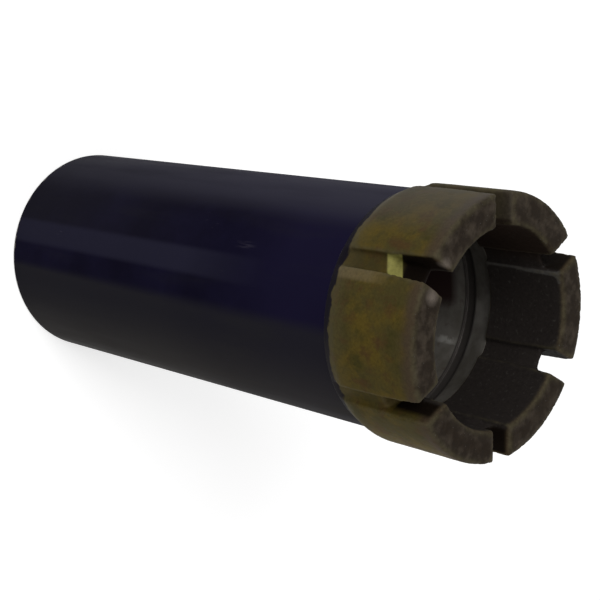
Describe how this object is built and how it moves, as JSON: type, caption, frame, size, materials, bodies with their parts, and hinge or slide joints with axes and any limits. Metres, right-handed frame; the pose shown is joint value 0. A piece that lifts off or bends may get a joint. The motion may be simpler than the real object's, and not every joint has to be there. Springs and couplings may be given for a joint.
{
  "type": "diamond core bit",
  "caption": "Tubular rock core bit: a long painted steel shank with a box thread carries a brass-toned impregnated crown cut by radial waterways.",
  "frame": {"origin": "centre of the shank's rear rim, on the plane that the bit stands on", "axes": "+Z along the bit's axis from the box thread to the cutting face; one waterway lies on +Y"},
  "size_m": [0.0764, 0.0762, 0.1915],
  "materials": {
    "shank": "gloss very dark indigo paint outside, bare machined steel inside",
    "crown": "infiltrated metal matrix, brassy with brown blotches, grey and rough at the cutting face"
  },
  "bodies": {
    "root": {"steel_shank": "shank", "matrix_crown": "crown"}
  },
  "joints": []
}
